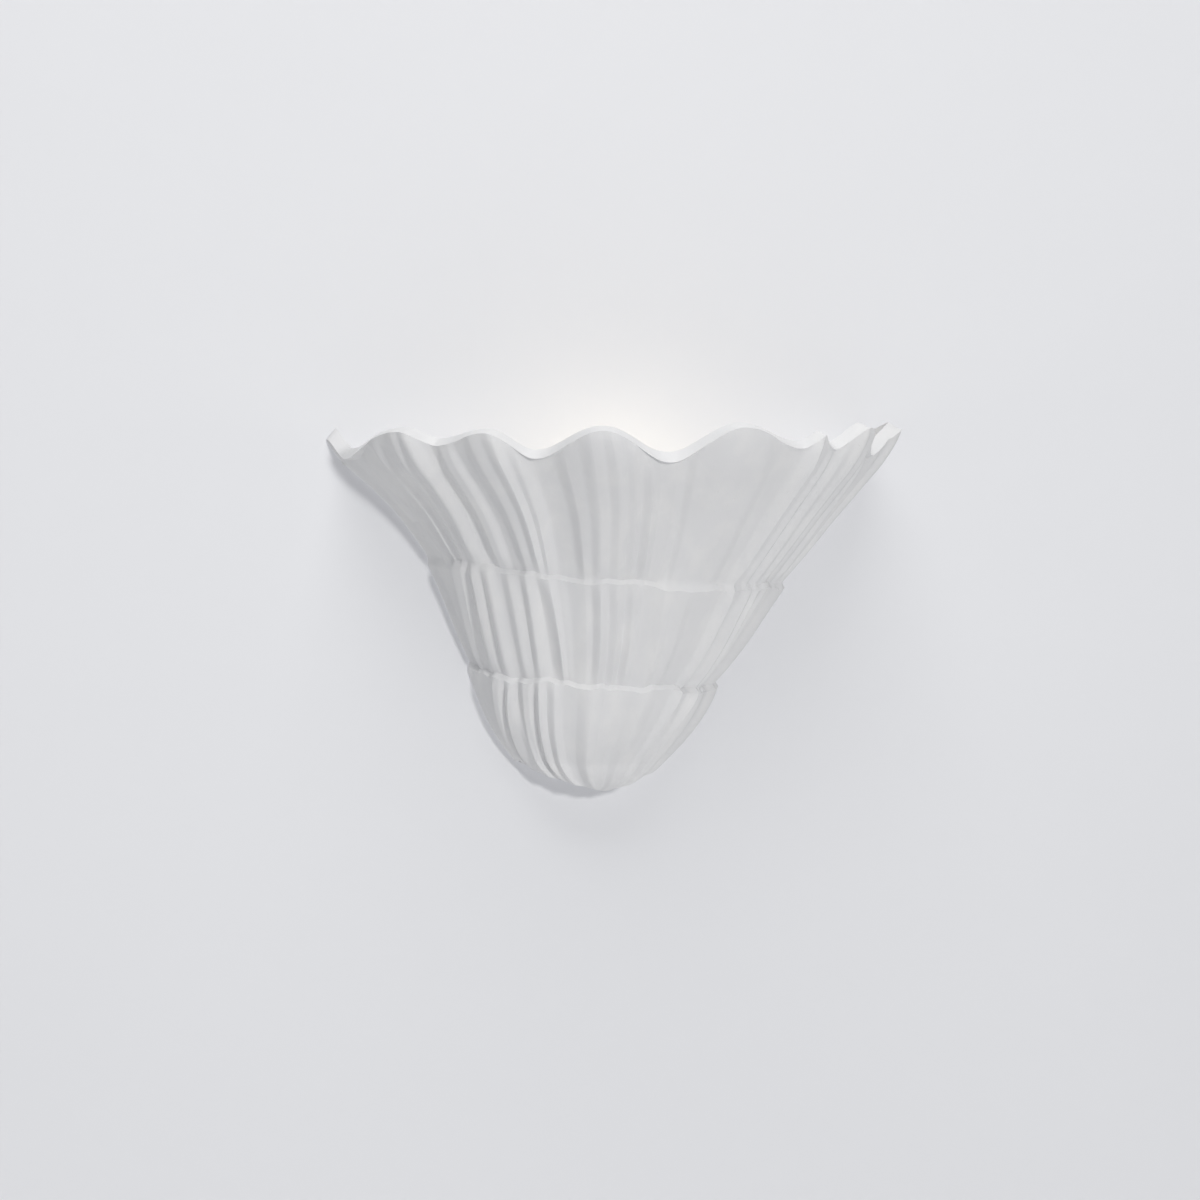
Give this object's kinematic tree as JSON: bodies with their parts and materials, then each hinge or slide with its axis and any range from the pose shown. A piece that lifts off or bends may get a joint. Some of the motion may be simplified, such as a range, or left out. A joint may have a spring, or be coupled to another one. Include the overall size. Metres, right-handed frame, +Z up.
{
  "type": "shell wall sconce",
  "caption": "Fluted plaster shell uplighter in three tiers that hangs on a steel wall plate, with a small screw lamp and lampholder inside.",
  "frame": {"origin": "middle of the wall plate, on the wall", "axes": "+Y into the wall, +Z up, +X to the right for someone who faces the wall"},
  "size_m": [0.3788, 0.1597, 0.2334],
  "materials": {
    "plaster": "matte",
    "felt": "matte",
    "zinc_steel": "satin",
    "brass": "satin",
    "tinned_copper": "satin",
    "rubber": "matte",
    "block_plastic": "satin",
    "holder_plastic": "satin",
    "insert_plastic": "matte",
    "live_sleeve": "satin",
    "neutral_sleeve": "satin",
    "earth_sleeve": "satin",
    "opal_glass": "satin",
    "cap_metal": "satin",
    "black_glass": "gloss"
  },
  "bodies": {
    "wall_fixture": {"wall_plate": "zinc_steel", "cable_grommet": "rubber", "terminal_block": "block_plastic", "terminal_tubes": "brass", "terminal_screws": "zinc_steel", "block_screws": "zinc_steel", "earth_stud": "zinc_steel", "earth_washer": "zinc_steel", "ring_terminal": "tinned_copper", "earth_nut": "zinc_steel", "earth_lead": "earth_sleeve", "live_lead": "live_sleeve", "neutral_lead": "neutral_sleeve", "lamp_bracket": "zinc_steel", "bracket_studs": "zinc_steel", "bracket_washers": "zinc_steel", "bracket_nuts": "zinc_steel", "threaded_nipple": "zinc_steel", "star_washer": "zinc_steel", "nipple_nut": "zinc_steel", "lampholder_cap": "holder_plastic", "lampholder_body": "holder_plastic", "contact_insert": "insert_plastic", "thread_shell": "brass", "centre_contact": "brass", "lampholder_terminals": "brass", "lampholder_screws": "zinc_steel"},
    "shell": {"shell": "plaster", "felt_pads": "felt", "hanger_bar": "zinc_steel", "threaded_inserts": "brass", "hanger_screws": "zinc_steel", "hanger_washers": "zinc_steel"},
    "bulb_foot": {"bulb_contact": "tinned_copper", "bulb_insulator": "black_glass"},
    "bulb": {"bulb_glass": "opal_glass", "bulb_cap": "cap_metal"}
  },
  "joints": [
    {"name": "shell_lift", "type": "slide", "parent": "wall_fixture", "child": "shell", "axis": [0, 0, 1], "range_m": [0, 0.0105]},
    {"name": "bulb_rise", "type": "slide", "parent": "wall_fixture", "child": "bulb_foot", "axis": [0, 0, 1], "range_m": [0, 0.01128]},
    {"name": "bulb_turn", "type": "hinge", "parent": "bulb_foot", "child": "bulb", "pos_m": [0, -0.05, 0], "axis": [0, 0, 1], "range_deg": [0, 1440]}
  ],
  "couplings": [
    {"joint": "bulb_rise", "follows": "bulb_turn", "m_per_rad": 0.0004488}
  ]
}
